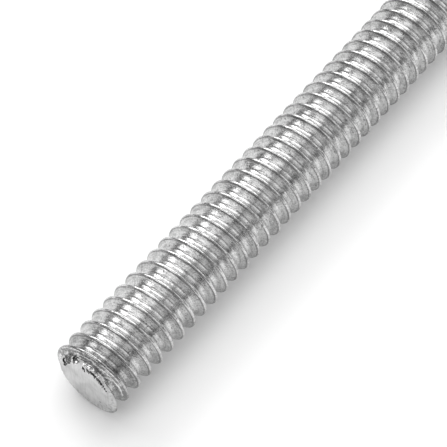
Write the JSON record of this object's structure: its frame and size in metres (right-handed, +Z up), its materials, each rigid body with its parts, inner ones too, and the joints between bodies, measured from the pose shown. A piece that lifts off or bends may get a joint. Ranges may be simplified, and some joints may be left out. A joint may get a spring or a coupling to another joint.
{
  "type": "threaded rod",
  "caption": "Straight steel rod with a right-hand thread along its whole length, zinc plated, cut square at both ends without a chamfer.",
  "frame": {"origin": "centre of the rod's near cut end, on its axis, where the thread starts", "axes": "+X along the rod's axis towards its far cut end; +Z up as the rod lies on its side"},
  "size_m": [0.1524, 0.006, 0.006],
  "materials": {
    "zinc_plate": "bright zinc plate on steel, satin, with fine rolling scratches and pits"
  },
  "bodies": {
    "root": {"threaded_rod": "zinc_plate"}
  },
  "joints": []
}
